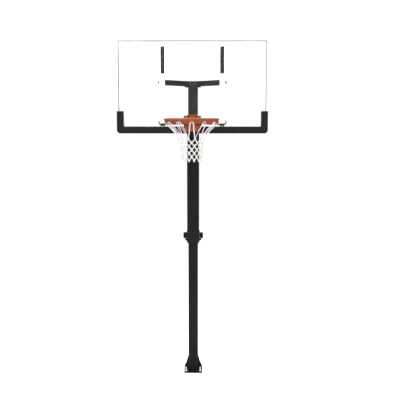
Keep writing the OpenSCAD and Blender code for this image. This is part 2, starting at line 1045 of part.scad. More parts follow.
module rim_carrier() {
    knuckle_half = mount_half - 6 - slip;
    low = rim_h - 62;
    top = ring_z - rod_r;
    band_r = ring_r + brace_t / 2;
    color(rim_orange)
        difference() {
            union() {
                rod_x([-knuckle_half, hinge_y, hinge_z], 26, 2 * knuckle_half);
                box([-knuckle_half, lever_y, top - 5], [knuckle_half, hinge_y, top + 4]);
                box([-carrier_half, lever_y - lever_t, low], [carrier_half, lever_y, top]);
                box([-carrier_half, ring_y + ring_r - 30, top - 5], [carrier_half, lever_y, top]);
                for (side = [0, 1])
                    mirror([side, 0, 0])
                        slab_x(carrier_half - 6, carrier_half)
                            polygon([
                                [lever_y, low],
                                [lever_y, top],
                                [ring_y + ring_r - 30, top],
                                [ring_y + ring_r - 30, top - brace_h + 5],
                                [ring_y + ring_r, top - brace_h]
                            ]);
            }
            rod_x([-mount_half, hinge_y, hinge_z], pin_d + 2 * turn_gap, 2 * mount_half);
            translate([0, ring_y, rim_h - 200])
                cylinder(r = band_r, h = 400, $fn = 96);
            for (x = [-1, 1])
                translate([x * spring_x, lever_y - lever_t - eps, spring_z + 3.5])
                    spring_bolt_slot();
            for (x = [-1, 1])
                rod_x([x * carrier_half - 10, cover_screw_y, cover_screw_z], 6, 20);
        }
}

// Upright slot that clears a spring bolt while the carrier tips
module spring_bolt_slot() {
    d = spring_bolt_d + 3;
    run = 4.5;
    for (dz = [-run, run])
        rod_y([0, 0, dz], d, lever_t + 2 * eps);
    box([-d / 2, 0, -run], [d / 2, lever_t + 2 * eps, run]);
}

module rim_ring() {
    color(rim_orange)
        translate([0, ring_y, ring_z])
            rotate_extrude($fn = 96)
                translate([ring_r, 0])
                    circle(d = ring_rod);
}

// Band under the ring's back, with ends that taper up towards the front
module rim_brace() {
    top = ring_z - rod_r;
    color(rim_orange)
        difference() {
            translate([0, ring_y, top - brace_h])
                rotate([0, 0, 90 - brace_half_angle])
                    rotate_extrude(angle = 2 * brace_half_angle, $fn = 128)
                        translate([ring_r - brace_t / 2, 0])
                            square([brace_t, brace_h]);
            slab_x(-ring_r - 20, ring_r + 20)
                polygon([
                    [ring_y - ring_r, top - 12],
                    [ring_y - ring_r * 0.36, top - 12],
                    [ring_y - ring_r * 0.02, top - brace_h - 2],
                    [ring_y - ring_r, top - brace_h - 2]
                ]);
        }
}

// Wire loops under the ring, one every 30 degrees
module net_hooks() {
    color(rim_orange)
        difference() {
            for (i = [0 : hook_count - 1])
                translate([0, ring_y, hook_low + hook_bend])
                    rotate([0, 0, i * 360 / hook_count - 90])
                        translate([hook_r, 0, 0])
                            rotate([90, 0, 90])
                                net_hook();
            translate([0, ring_y, ring_z])
                rotate_extrude($fn = 96)
                    translate([ring_r, 0])
                        circle(d = ring_rod);
        }
}

// One hook: half a turn of wire with two legs, drawn in the XY plane and opening to +Y
module net_hook() {
    leg = ring_z - rod_r / 2 - hook_low - hook_bend;
    rotate([0, 0, 180])
        rotate_extrude(angle = 180)
            translate([hook_bend - hook_wire / 2, 0])
                circle(d = hook_wire);
    for (side = [-1, 1])
        rod_y([side * (hook_bend - hook_wire / 2), 0, 0], hook_wire, leg);
}

// Sheet cover around the springs, open at the top and at the back
module spring_cover() {
    top = ring_z - rod_r - 6;
    color(rim_orange)
        difference() {
            slab_y(cover_front, hinge_y + 5) cover_outline(0, top);
            slab_y(cover_front + cover_t, hinge_y + 6) cover_outline(cover_t, top + eps);
            slab_x(-cover_half - eps, cover_half + eps)
                polygon([
                    [hinge_y + 6, top + eps],
                    [hinge_y - 25, cover_low - eps],
                    [hinge_y + 6, cover_low - eps]
                ]);
            for (side = [0, 1])
                mirror([side, 0, 0])
                    box([carrier_half - 6 - slip, cover_front - eps, rim_h - 64],
                        [carrier_half, hinge_y, rim_h]);
            for (x = [-1, 1])
                rod_x([x * cover_half - 10, cover_screw_y, cover_screw_z], 6, 20);
        }
}

// Front outline of the cover, inset by t at the sides and the bottom
module cover_outline(t, top) {
    polygon([
        [-cover_low_half + t, cover_low + t],
        [cover_low_half - t, cover_low + t],
        [cover_half - t, rim_h - 55],
        [cover_half - t, top],
        [-cover_half + t, top],
        [-cover_half + t, rim_h - 55]
    ]);
}

module cover_screws() {
    color(zinc)
        for (side = [0, 1])
            mirror([side, 0, 0]) {
                rod_x([carrier_half - 8, cover_screw_y, cover_screw_z], 6, cover_half - carrier_half + 8);
                rod_x([cover_half, cover_screw_y, cover_screw_z], 13, 3);
            }
}

// Hanging net as an open funnel: [radius, depth below the rim] down its middle line
module net() {
    wall = 3;
    profile = [
        [222, 37], [196, 70], [152, 132], [112, 186], [97, 217],
        [92, 248], [90, 310], [87, 378]
    ];
    outer = [for (p = profile) [p[0] + wall / 2, -p[1]]];
    inner = [for (i = [len(profile) - 1 : -1 : 0]) [profile[i][0] - wall / 2, -profile[i][1]]];
    color(net_white)
        translate([0, ring_y, rim_h])
            rotate_extrude($fn = 72)
                polygon(concat(outer, inner));
}

anchor_studs();
anchor_washers();
anchor_nuts();
anchor_plate();
plate_gussets();
lower_pole();
upper_glide();
strut_cylinder();
strut_pin();
sleeve();
collar();
collar_liner();
clamp_inserts();
clamp_pads();
left_clamp_screw();
right_clamp_screw();
left_knob();
right_knob();
strut_rod();
top_pole();
top_pole_plug();
sleeve_reducer();
top_cap();
upper_pole_bracket();
lower_pole_bracket();
bracket_straps();
bracket_bolts();
upper_left_arm();
upper_right_arm();
lower_left_arm();
lower_right_arm();
arm_bolts();
left_upright();
right_upright();
upright_bolts();
cross_channel();
board_frame();
glass_board();
glass_bushes();
board_print();
edge_trim();
left_pad();
right_pad();
pad_screws();
rim_standoff();
rim_mount_plate();
rim_bolts();
hinge_pin();
spring_bolts();
rim_springs();
rim_carrier();
rim_ring();
rim_brace();
net_hooks();
spring_cover();
cover_screws();
net();
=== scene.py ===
"""Looks of a bolt-down basketball hoop: framed glass board, sprung ring with its net, and a square
telescoping pole. Everything is in metres in the CAD model's own frame: +Z up, the board faces -Y."""

import json
import math

import bmesh
import bpy
from mathutils import Matrix, Vector, noise


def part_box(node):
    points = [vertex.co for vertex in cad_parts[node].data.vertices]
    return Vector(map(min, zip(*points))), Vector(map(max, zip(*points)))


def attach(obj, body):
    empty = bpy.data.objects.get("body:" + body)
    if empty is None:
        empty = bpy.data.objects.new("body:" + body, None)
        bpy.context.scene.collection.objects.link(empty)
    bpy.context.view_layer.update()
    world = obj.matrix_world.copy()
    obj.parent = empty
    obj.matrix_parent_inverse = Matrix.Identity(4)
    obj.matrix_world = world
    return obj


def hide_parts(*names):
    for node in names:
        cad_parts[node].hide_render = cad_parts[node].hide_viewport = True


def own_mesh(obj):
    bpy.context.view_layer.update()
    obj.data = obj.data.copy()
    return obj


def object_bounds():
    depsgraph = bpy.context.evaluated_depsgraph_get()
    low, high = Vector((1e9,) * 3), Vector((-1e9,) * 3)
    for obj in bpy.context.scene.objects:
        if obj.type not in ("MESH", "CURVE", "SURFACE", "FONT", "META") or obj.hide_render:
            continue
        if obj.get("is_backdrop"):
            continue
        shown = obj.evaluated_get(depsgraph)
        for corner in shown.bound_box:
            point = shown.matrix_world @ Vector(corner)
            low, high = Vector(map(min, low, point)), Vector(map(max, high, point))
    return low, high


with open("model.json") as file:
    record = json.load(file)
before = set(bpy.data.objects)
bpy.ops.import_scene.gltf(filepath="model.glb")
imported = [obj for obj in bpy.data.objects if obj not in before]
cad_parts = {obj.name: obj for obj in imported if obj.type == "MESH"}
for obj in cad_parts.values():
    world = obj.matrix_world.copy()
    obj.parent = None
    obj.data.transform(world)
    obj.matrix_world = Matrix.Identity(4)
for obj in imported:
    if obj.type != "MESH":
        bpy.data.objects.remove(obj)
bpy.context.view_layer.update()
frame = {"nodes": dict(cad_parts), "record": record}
nodes = frame["nodes"]
record = frame["record"]
MM = 0.001
UP = Vector((0, 0, 1))
DOWN = -UP


# ---- places read from the frame ----


def islands(node):
    """Boxes (low, high) of the separate solids of a CAD node, sorted from left to right and up."""
    mesh = nodes[node].data
    places, group = {}, []
    for v in mesh.vertices:
        key = tuple(round(c, 5) for c in v.co)
        group.append(places.setdefault(key, len(places)))
    root = list(range(len(places)))

    def find(i):
        while root[i] != i:
            root[i] = root[root[i]]
            i = root[i]
        return i

    for edge in mesh.edges:
        root[find(group[edge.vertices[0]])] = find(group[edge.vertices[1]])
    boxes = {}
    for key, i in places.items():
        low, high = boxes.setdefault(find(i), (list(key), list(key)))
        for k in range(3):
            low[k] = min(low[k], key[k])
            high[k] = max(high[k], key[k])
    found = [(Vector(low), Vector(high)) for low, high in boxes.values()]
    return sorted(found, key=lambda b: (round(b[0].x, 3), round(b[0].y, 3), round(b[0].z, 3)))


def above(low, high, z):
    """The point at height z on the upright middle line of a box."""
    return Vector(((low.x + high.x) / 2, (low.y + high.y) / 2, z))


ring_low, ring_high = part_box("rim_ring")
ring_centre = (ring_low + ring_high) / 2
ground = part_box("anchor_plate")[0].z


# ---- materials ----


class Surface:
    """One procedural material: its Principled shader and the helpers that feed its sockets."""

    def __init__(self, name, **constants):
        self.material = bpy.data.materials.new(name)
        self.material.use_nodes = True
        self.tree = self.material.node_tree
        self.shader = self.tree.nodes["Principled BSDF"]
        for socket, value in constants.items():
            self.shader.inputs[socket.replace("_", " ")].default_value = value
        self.place = self.tree.nodes.new("ShaderNodeTexCoord").outputs["Object"]
        self.height = None

    def add(self, kind, **settings):
        node = self.tree.nodes.new("ShaderNode" + kind)
        for name, value in settings.items():
            setattr(node, name, value)
        return node

    def link(self, a, b):
        self.tree.links.new(a, b)

    def stretched(self, scale):
        mapping = self.add("Mapping")
        mapping.inputs["Scale"].default_value = scale
        self.link(self.place, mapping.inputs["Vector"])
        return mapping.outputs["Vector"]

    def noise(self, scale, detail=3.0, roughness=0.55, place=None):
        node = self.add("TexNoise")
        node.inputs["Scale"].default_value = scale
        node.inputs["Detail"].default_value = detail
        node.inputs["Roughness"].default_value = roughness
        self.link(place or self.place, node.inputs["Vector"])
        return node.outputs["Fac"]

    def ramp(self, fac, stops):
        node = self.add("ValToRGB")
        elements = node.color_ramp.elements
        while len(elements) < len(stops):
            elements.new(0.5)
        for element, (position, colour) in zip(elements, stops):
            element.position = position
            element.color = (*colour, 1)
        self.link(fac, node.inputs["Fac"])
        return node.outputs["Color"]

    def spread(self, fac, low, high, start=0.3, end=0.7):
        node = self.add("MapRange")
        node.inputs["From Min"].default_value = start
        node.inputs["From Max"].default_value = end
        node.inputs["To Min"].default_value = low
        node.inputs["To Max"].default_value = high
        self.link(fac, node.inputs["Value"])
        return node.outputs["Result"]

    def colour(self, source):
        self.link(source, self.shader.inputs["Base Color"])

    def roughness(self, source):
        self.link(source, self.shader.inputs["Roughness"])

    def bump(self, source, strength, distance):
        node = self.add("Bump")
        node.inputs["Strength"].default_value = strength
        node.inputs["Distance"].default_value = distance
        self.link(source, node.inputs["Height"])
        if self.height is not None:
            self.link(self.height, node.inputs["Normal"])
        self.height = node.outputs["Normal"]
        self.link(self.height, self.shader.inputs["Normal"])


def shade(colour, factor):
    return tuple(c * factor for c in colour)


def powder_coat(name, colour, rough, grain):
    """Baked powder coat: slight orange-peel, fine grain, and faint patches of dust and handling."""
    s = Surface(name, IOR=1.45, Specular_IOR_Level=0.25)
    tones = [(0.3, shade(colour, 0.88)), (0.5, colour), (0.72, shade(colour, 1.14))]
    s.colour(s.ramp(s.noise(7.0, 4.0), tones))
    s.roughness(s.spread(s.noise(38.0, 3.0), rough - 0.06, rough + 0.08))
    s.bump(s.noise(260.0, 2.0), 0.25, 0.0004)
    s.bump(s.noise(1500.0, 2.0), grain, 0.0002)
    return s.material


def plated(name, colour, rough, metal=1.0):
    """Plated or drawn steel: mottled metal with fine scratches that run up and down."""
    s = Surface(name, Metallic=metal)
    tones = [(0.3, shade(colour, 0.8)), (0.55, colour), (0.8, shade(colour, 1.08))]
    s.colour(s.ramp(s.noise(90.0, 4.0), tones))
    s.roughness(s.spread(s.noise(160.0, 4.0), rough - 0.08, rough + 0.12))
    s.bump(s.noise(700.0, 3.0, place=s.stretched((1, 1, 0.08))), 0.2, 0.0002)
    return s.material


def moulded(name, colour, rough, grain_scale, grain):
    """Moulded plastic or rubber: an etched grain and slow changes of tone."""
    s = Surface(name, IOR=1.48, Specular_IOR_Level=0.25)
    s.colour(s.ramp(s.noise(11.0, 4.0), [(0.3, shade(colour, 0.9)), (0.7, shade(colour, 1.12))]))
    s.roughness(s.spread(s.noise(50.0, 3.0), rough - 0.05, rough + 0.07))
    cells = s.add("TexVoronoi", feature="SMOOTH_F1")
    cells.inputs["Scale"].default_value = grain_scale
    s.link(s.place, cells.inputs["Vector"])
    s.bump(cells.outputs["Distance"], grain, 0.0003)
    return s.material


def safety_glass():
    """Clear tempered glass with the slight roller wave of the tempering."""
    faint_green = (0.985, 0.995, 0.99, 1)
    s = Surface("tempered_glass", Transmission_Weight=1.0, IOR=1.3, Roughness=0.0, Base_Color=faint_green)
    s.bump(s.noise(3.0, 1.0, place=s.stretched((0.4, 1, 2.4))), 0.05, 0.001)
    path = s.add("LightPath")
    clear = s.add("BsdfTransparent")
    mix = s.add("MixShader")
    s.link(path.outputs["Is Shadow Ray"], mix.inputs["Fac"])
    s.link(s.shader.outputs["BSDF"], mix.inputs[1])
    s.link(clear.outputs["BSDF"], mix.inputs[2])
    s.link(mix.outputs["Shader"], s.tree.nodes["Material Output"].inputs["Surface"])
    return s.material


def printed_white():
    """Ceramic ink baked on the glass: even, slightly glossy white."""
    s = Surface("white_print", Coat_Weight=0.4, Coat_Roughness=0.08, Specular_IOR_Level=0.3)
    s.colour(s.ramp(s.noise(24.0, 3.0), [(0.3, (0.93, 0.93, 0.93)), (0.7, (0.98, 0.98, 0.98))]))
    s.roughness(s.spread(s.noise(120.0), 0.25, 0.4))
    s.bump(s.noise(2200.0, 2.0), 0.1, 0.0001)
    return s.material


def anodised():
    """Anodised aluminium, brushed from left to right."""
    s = Surface("trim_aluminium", Metallic=1.0)
    s.colour(s.ramp(s.noise(30.0, 3.0), [(0.3, (0.4, 0.4, 0.41)), (0.7, (0.5, 0.5, 0.51))]))
    s.roughness(s.spread(s.noise(300.0, 3.0, place=s.stretched((0.05, 1, 1))), 0.28, 0.46))
    s.bump(s.noise(1800.0, 3.0, place=s.stretched((0.03, 1, 1))), 0.25, 0.0001)
    return s.material


def laid_cord():
    """Bleached polyester cord: a fine fibrous surface with faint patches of dirt."""
    s = Surface("net_cord", Sheen_Weight=0.25, Sheen_Roughness=0.5, Specular_IOR_Level=0.2)
    tones = [(0.25, (0.8, 0.78, 0.74)), (0.5, (0.9, 0.89, 0.86)), (0.8, (0.95, 0.94, 0.92))]
    s.colour(s.ramp(s.noise(60.0, 5.0), tones))
    s.roughness(s.spread(s.noise(200.0), 0.75, 0.92))
    s.bump(s.noise(2600.0, 4.0, 0.7), 0.6, 0.0006)
    return s.material


def pale_floor():
    """Plain pale floor that looks evenly lit, both directly and through the glass."""
    s = Surface("pale_floor", Specular_IOR_Level=0.1)
    s.colour(s.ramp(s.noise(0.8, 2.0), [(0.3, (0.9, 0.9, 0.9)), (0.7, (0.93, 0.93, 0.93))]))
    s.roughness(s.spread(s.noise(3.0), 0.8, 0.9))
    s.shader.inputs["Emission Color"].default_value = (1, 1, 1, 1)
    path = s.add("LightPath")
    seen = s.add("Math", operation="MAXIMUM")
    s.link(path.outputs["Is Camera Ray"], seen.inputs[0])
    s.link(path.outputs["Is Transmission Ray"], seen.inputs[1])
    s.link(s.spread(seen.outputs[0], 0.0, GLOW_OF_FLOOR, 0.0, 1.0), s.shader.inputs["Emission Strength"])
    return s.material


GLOW_OF_FLOOR = 0.68
BLACK = (0.0085, 0.0085, 0.0088)
ORANGE = (0.34, 0.08, 0.029)
surfaces = {
    "black_powder_coat": powder_coat("black_powder_coat", BLACK, 0.5, 0.35),
    "orange_powder_coat": powder_coat("orange_powder_coat", ORANGE, 0.5, 0.2),
    "zinc_plate": plated("zinc_plate", (0.9, 0.91, 0.92), 0.34, 0.6),
    "black_zinc": plated("black_zinc", (0.07, 0.07, 0.075), 0.42),
    "spring_steel": plated("spring_steel", (0.3, 0.3, 0.31), 0.38),
    "nylon": moulded("nylon", (0.5, 0.5, 0.47), 0.5, 900.0, 0.15),
    "black_plastic": moulded("black_plastic", (0.0085, 0.0085, 0.009), 0.52, 1300.0, 0.3),
    "pad_rubber": moulded("pad_rubber", (0.0095, 0.0095, 0.01), 0.62, 700.0, 0.45),
    "bush_rubber": moulded("bush_rubber", (0.015, 0.015, 0.015), 0.7, 1100.0, 0.3),
    "tempered_glass": safety_glass(),
    "white_print": printed_white(),
    "trim_aluminium": anodised(),
    "net_cord": laid_cord(),
}
slot_of = {part["node"]: part["material_slot"] for part in record["subparts"]}
for name, cad_node in nodes.items():
    cad_node.data.materials.clear()
    cad_node.data.materials.append(surfaces[slot_of[name]])


# ---- edges of the CAD nodes ----

SHARP_ANGLE = math.radians(32)


def soften(node, width):
    """Rounds a CAD node's sharp edges with modifiers; its own mesh stays as imported."""
    o = nodes[node]
    weld = o.modifiers.new("weld", "WELD")
    weld.merge_threshold = 0.02 * MM
    flat = o.modifiers.new("flat", "DECIMATE")
    flat.decimate_type = "DISSOLVE"
    flat.angle_limit = math.radians(1)
    bevel = o.modifiers.new("bevel", "BEVEL")
    bevel.limit_method = "ANGLE"
    bevel.angle_limit = SHARP_ANGLE
    bevel.width = width
    bevel.segments = 2
    bevel.harden_normals = True
    for face in o.data.polygons:
        face.use_smooth = True


# width of the soft edge in millimetres, and the nodes that have it
edge_widths = {
    0.8: ["anchor_plate", "plate_gussets", "upper_pole_bracket", "lower_pole_bracket", "bracket_straps"],
    1.2: ["upper_left_arm", "upper_right_arm", "lower_left_arm", "lower_right_arm"],
    1.5: ["left_upright", "right_upright", "cross_channel", "rim_standoff", "board_frame"],
    0.7: ["rim_mount_plate", "rim_carrier", "rim_brace", "spring_cover", "edge_trim"],
    2.0: ["collar"],
    1.0: ["top_cap", "sleeve_reducer", "upper_glide"],
    0.5: [
        "bracket_bolts", "arm_bolts", "upright_bolts", "rim_bolts", "hinge_pin", "spring_bolts",
        "cover_screws",
    ],
}
for width, names in edge_widths.items():
    for name in names:
        soften(name, width * MM)


# ---- mesh helpers ----


def piece(name, verts, faces, body, slot, replaces=(), smooth=True):
    """A new mesh object in the row frame that rides on a CAD body."""
    mesh = bpy.data.meshes.new(name)
    mesh.from_pydata([tuple(v) for v in verts], [], faces)
    mesh.validate()
    for face in mesh.polygons:
        face.use_smooth = smooth
    mesh.materials.append(surfaces[slot])
    o = bpy.data.objects.new(name, mesh)
    bpy.context.scene.collection.objects.link(o)
    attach(o, body)
    if replaces:
        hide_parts(*replaces)
    return o


def sharpen(o, angle):
    """Smooth shading that keeps edges above this angle crisp."""
    bm = bmesh.new()
    bm.from_mesh(o.data)
    bmesh.ops.recalc_face_normals(bm, faces=bm.faces)
    for edge in bm.edges:
        if len(edge.link_faces) == 2 and edge.calc_face_angle(0) > math.radians(angle):
            edge.smooth = False
    bm.to_mesh(o.data)
    bm.free()


class Build:
    """Gathers vertices and faces of one piece from several shapes."""

    def __init__(self):
        self.verts = []
        self.faces = []

    def rings(self, rings, closed=False):
        """Skins a list of equally long point rings, with flat ends unless the list is closed."""
        base, n = len(self.verts), len(rings[0])
        for ring in rings:
            self.verts.extend(ring)
        last = len(rings) if closed else len(rings) - 1
        for i in range(last):
            a, b = base + i * n, base + (i + 1) % len(rings) * n
            for k in range(n):
                m = (k + 1) % n
                self.faces.append((a + k, a + m, b + m, b + k))
        if not closed:
            self.faces.append(tuple(range(base + n - 1, base - 1, -1)))
            top = base + (len(rings) - 1) * n
            self.faces.append(tuple(range(top, top + n)))

    def tube(self, path, radius, sides=8, closed=False, strands=0, lay=0.0, ridge=0.0, bead=None):
        """A tube along a path. With strands it has the twisted lobes of laid cord; bead scales each ring."""
        tangents = path_tangents(path, closed)
        side = tangents[0].cross(UP)
        if side.length < 1e-3:
            side = tangents[0].cross(Vector((1, 0, 0)))
        side.normalize()
        rings, travelled = [], 0.0
        for i, p in enumerate(path):
            t = tangents[i]
            side = (side - t * side.dot(t)).normalized()
            other = t.cross(side)
            if i:
                travelled += (p - path[i - 1]).length
            twist = travelled * lay
            scale = bead[i] if bead else 1.0
            ring = []
            for k in range(sides):
                a = 2 * math.pi * k / sides
                r = radius * scale * (1 + ridge * math.cos(strands * (a - twist)))
                ring.append(p + side * (r * math.cos(a)) + other * (r * math.sin(a)))
            rings.append(ring)
        self.rings(rings, closed)

    def piece(self, name, body, slot, replaces=(), smooth=True):
        return piece(name, self.verts, self.faces, body, slot, replaces, smooth)


def path_tangents(path, closed):
    """Unit direction of a path at each of its points."""
    tangents = []
    for i in range(len(path)):
        before = path[i - 1] if i or closed else path[0]
        after = path[(i + 1) % len(path)] if i + 1 < len(path) or closed else path[-1]
        tangents.append((after - before).normalized())
    return tangents


def smooth_path(points, step):
    """Points about one step apart on a Catmull-Rom curve through the given points."""
    padded = [points[0] * 2 - points[1], *points, points[-1] * 2 - points[-2]]
    out = []
    for i in range(1, len(padded) - 2):
        p0, p1, p2, p3 = padded[i - 1 : i + 3]
        count = max(1, round((p2 - p1).length / step))
        for j in range(count):
            t = j / count
            out.append(
                0.5 * (2 * p1 + (p2 - p0) * t + (2 * p0 - 5 * p1 + 4 * p2 - p3) * t**2
                       + (3 * p1 - p0 - 3 * p2 + p3) * t**3)
            )
    out.append(points[-1].copy())
    return out


def axes(direction):
    """Unit vectors along a direction and two ways square to it."""
    t = Vector(direction).normalized()
    helper = UP if abs(t.z) < 0.9 else Vector((1, 0, 0))
    u = t.cross(helper).normalized()
    return t, u, t.cross(u)


def lathe_ring(origin, direction, height, radius_at, count):
    """Ring of points round an axis, at a height along it, with the radius a function of the angle."""
    t, u, v = axes(direction)
    centre = Vector(origin) + t * height
    ring = []
    for k in range(count):
        a = 2 * math.pi * k / count
        ring.append(centre + (u * math.cos(a) + v * math.sin(a)) * radius_at(a))
    return ring


def turned(origin, direction, profile, count):
    """Round rings on an axis for a profile of (height, radius) pairs."""
    return [lathe_ring(origin, direction, h, lambda a, r=r: r, count) for h, r in profile]


# ---- fasteners ----

STUD_THREAD_R = 7 * MM
STUD_THREAD_PITCH = 2 * MM
NUT_BORE_R = STUD_THREAD_R * 0.92
WASHER_BORE_R = STUD_THREAD_R * 1.06
# steps of a nut's chamfer as shares of its width, and how far each one goes up and outward
CHAMFER_STEPS = (0.0, 0.045, 0.09)
CHAMFER_HEIGHT = 0.7
CHAMFER_SPREAD = 1.9


def hex_radius(flats, a):
    """Distance from the axis of a hexagon to its side, at an angle."""
    return flats / 2 / math.cos((a + math.pi / 6) % (math.pi / 3) - math.pi / 6)


def hex_nut(build, origin, flats, height, bore):
    """Hexagon nut with chamfered corners and a countersink at both ends of its bore."""
    count = 48
    inscribed = flats / 2 * 0.99

    def chamfered(step):
        return lambda a: min(hex_radius(flats, a), inscribed + step * CHAMFER_SPREAD)

    steps = [flats * share for share in CHAMFER_STEPS]
    rings = [lathe_ring(origin, UP, step * CHAMFER_HEIGHT, chamfered(step), count) for step in steps]
    for step in reversed(steps):
        rings.append(lathe_ring(origin, UP, height - step * CHAMFER_HEIGHT, chamfered(step), count))
    sink, mouth = bore * 0.16, bore * 1.14
    rings += turned(origin, UP, ((height, mouth), (height - sink, bore), (sink, bore), (0.0, mouth)), count)
    build.rings(rings, closed=True)


def thread(build, origin, length, radius, pitch):
    """Threaded shank that points up, with a helical ridge and a chamfered end."""
    count, per_turn = 20, 6
    depth = pitch * 0.5
    chamfer_start = length - 1.5 * pitch
    total = round(length / pitch * per_turn)
    rings = []
    for i in range(total + 1):
        h = length * i / total

        def at(a, h=h):
            phase = (h / pitch - a / (2 * math.pi)) % 1.0
            return radius - depth * abs(2 * phase - 1) - max(0.0, h - chamfer_start) * 0.6

        rings.append(lathe_ring(origin, UP, h, at, count))
    build.rings(rings)


def shank(build, origin, length, radius):
    """Plain round bar that points up."""
    build.rings(turned(origin, UP, ((0.0, radius), (length, radius)), 24))


def washer(build, origin, direction, outer, bore, height):
    """Round washer with eased outer edges."""
    edge = height * 0.2
    profile = [(0, outer - edge), (edge, outer), (height - edge, outer), (height, outer - edge)]
    profile += [(height, bore), (0, bore)]
    build.rings(turned(origin, direction, profile, 40), closed=True)


# anchor studs: plain below the ground and threaded above it
studs = Build()
for low, high in islands("anchor_studs"):
    shank(studs, above(low, high, low.z), ground - low.z, (high.x - low.x) / 2)
    thread(studs, above(low, high, ground), high.z - ground, STUD_THREAD_R, STUD_THREAD_PITCH)
stud_piece = studs.piece("anchor_stud_threads", "anchored_pole", "zinc_plate", ["anchor_studs"])
sharpen(stud_piece, 50)

nuts = Build()
for low, high in islands("anchor_nuts"):
    flats = min(high.x - low.x, high.y - low.y)
    hex_nut(nuts, above(low, high, low.z), flats, high.z - low.z, NUT_BORE_R)
nut_piece = nuts.piece("chamfered_anchor_nuts", "anchored_pole", "zinc_plate", ["anchor_nuts"])
sharpen(nut_piece, 35)

washers = Build()
for low, high in islands("anchor_washers"):
    washer(washers, above(low, high, low.z), UP, (high.x - low.x) / 2, WASHER_BORE_R, high.z - low.z)
washer_piece = washers.piece("black_anchor_washers", "anchored_pole", "black_zinc", ["anchor_washers"])
sharpen(washer_piece, 35)


# ---- board pads ----

PAD_WIDTH = 65 * MM
# depth of the cushion in front of the board
CUSHION_DEPTH = 18 * MM
# radius of the corner that the pad turns
PAD_CORNER = 33 * MM
# thickness of the wall that covers the board's edge, below the board and at its side
EDGE_WALLS = (13.8 * MM, 16.3 * MM)
# radius of the cushion's front edges
PAD_ROUND = 10 * MM
PAD_SECTION_STEP = 24 * MM
# millimetres from the end of a pad, and how full the cushion is there
PAD_INNER_END = ((0, 0.95), (1, 0.985), (3, 1.0))
PAD_TOP_END = ((1.2, 0.98), (0.3, 0.93))
PAD_UNEVENNESS = 0.9 * MM


def groove(middle):
    """One groove along a pad's face, in its section."""
    half = ((2.6, 0.1), (1.5, 0.6), (0.6, 1.6))
    points = [(middle - off * MM, down * MM) for off, down in half]
    return points + [(middle + off * MM, down * MM) for off, down in reversed(half)]


def pad_section(depth, wall):
    """Closed outline of a pad's section: distance in from its outer edge, distance behind its face."""
    width, round_r, front = PAD_WIDTH, PAD_ROUND, CUSHION_DEPTH
    quarter = [math.pi / 2 * k / 6 for k in range(7)]
    # the wall over the board's edge
    points = [(wall, depth), (wall - 2 * MM, depth + 0.2 * MM), (4 * MM, depth), (1.2 * MM, depth - 1 * MM)]
    points += [(0, depth - 4 * MM), (0, 26 * MM)]
    # the cushion, with two grooves along its face
    points += [(round_r * (1 - math.cos(a)), round_r * (1 - math.sin(a))) for a in quarter]
    points += groove(width * 0.3) + [(width * 0.42, 0), (width * 0.58, 0)] + groove(width * 0.7)
    points += [(width - round_r * (1 - math.sin(a)), round_r * (1 - math.cos(a))) for a in quarter]
    points += [(width, front - 3 * MM), (width - 1 * MM, front - 0.8 * MM), (width - 3 * MM, front)]
    # the inner corner that the board's edge sits in
    points += [(wall + 4 * MM, front), (wall + 1 * MM, front + 1 * MM), (wall, front + 4 * MM)]
    return points


def pad_stations(start, turn_x, turn_z, top):
    """Where the section is drawn, from the inner end to the top: stretch, place on it, fullness."""
    bend_steps, rise_steps = 12, 7
    stations = [("flat", start + off * MM, full) for off, full in PAD_INNER_END]
    run = round((turn_x - start) / PAD_SECTION_STEP)
    stations += [("flat", start + (turn_x - start) * i / run, 1.0) for i in range(1, run)]
    stations += [("bend", math.pi / 2 * k / bend_steps, 1.0) for k in range(bend_steps + 1)]
    rise = top - turn_z - 4 * MM
    stations += [("up", turn_z + rise * (i + 1) / rise_steps, 1.0) for i in range(rise_steps)]
    stations += [("up", top - off * MM, full) for off, full in PAD_TOP_END]
    return stations


def cushioned(inward, behind, full, seed):
    """A point of the cushion: drawn in near the pad's ends, and slightly uneven like foam."""
    uneven = abs(noise.noise(Vector((seed[0] * 0.37, inward * 30, seed[1])))) * PAD_UNEVENNESS
    inward = PAD_WIDTH / 2 + (inward - PAD_WIDTH / 2) * full
    behind = CUSHION_DEPTH / 2 + (behind - CUSHION_DEPTH / 2) * full
    across = min(1.0, max(0.0, inward / PAD_WIDTH))
    return inward, behind + uneven * math.sin(math.pi * across)


def pad_moulding(name, node, side):
    """A foam rubber pad: one section swept along the board's lower edge, round the corner and up."""
    low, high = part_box(node)
    outer = max(abs(low.x), abs(high.x))
    start = min(abs(low.x), abs(high.x)) + 0.3 * MM
    depth = high.y - low.y - 0.6 * MM
    rings = []
    stations = pad_stations(start, outer - PAD_CORNER, low.z + PAD_CORNER, high.z)
    for number, (stretch, at, full) in enumerate(stations):
        a = {"flat": 0.0, "bend": at, "up": math.pi / 2}[stretch]
        wall = EDGE_WALLS[0] + (EDGE_WALLS[1] - EDGE_WALLS[0]) * a / (math.pi / 2)
        ring = []
        for inward, behind in pad_section(depth, wall):
            if behind < CUSHION_DEPTH:
                inward, behind = cushioned(inward, behind, full, (number, side))
            bend = max(PAD_CORNER - inward, 1.5 * MM)
            x = outer - inward - bend + bend * math.sin(a)
            z = low.z + inward + bend - bend * math.cos(a)
            if stretch == "flat":
                x = min(x, at)
            if stretch == "up":
                z = max(z, at)
            ring.append(Vector((side * x, low.y + behind, z)))
        rings.append(ring)
    build = Build()
    build.rings(rings)
    o = build.piece(name, "head", "pad_rubber", [node])
    sharpen(o, 50)


pad_moulding("left_pad_moulding", "left_pad", -1)
pad_moulding("right_pad_moulding", "right_pad", 1)

# pad screws: a domed head with a recess, on a cup washer seated in the pad's lower face
SCREW_SEAT = 1.5 * MM
CUP_R = 8 * MM
CUP_BORE_R = 2.6 * MM
CUP_HEIGHT = 1.6 * MM
SCREW_R = 2.4 * MM
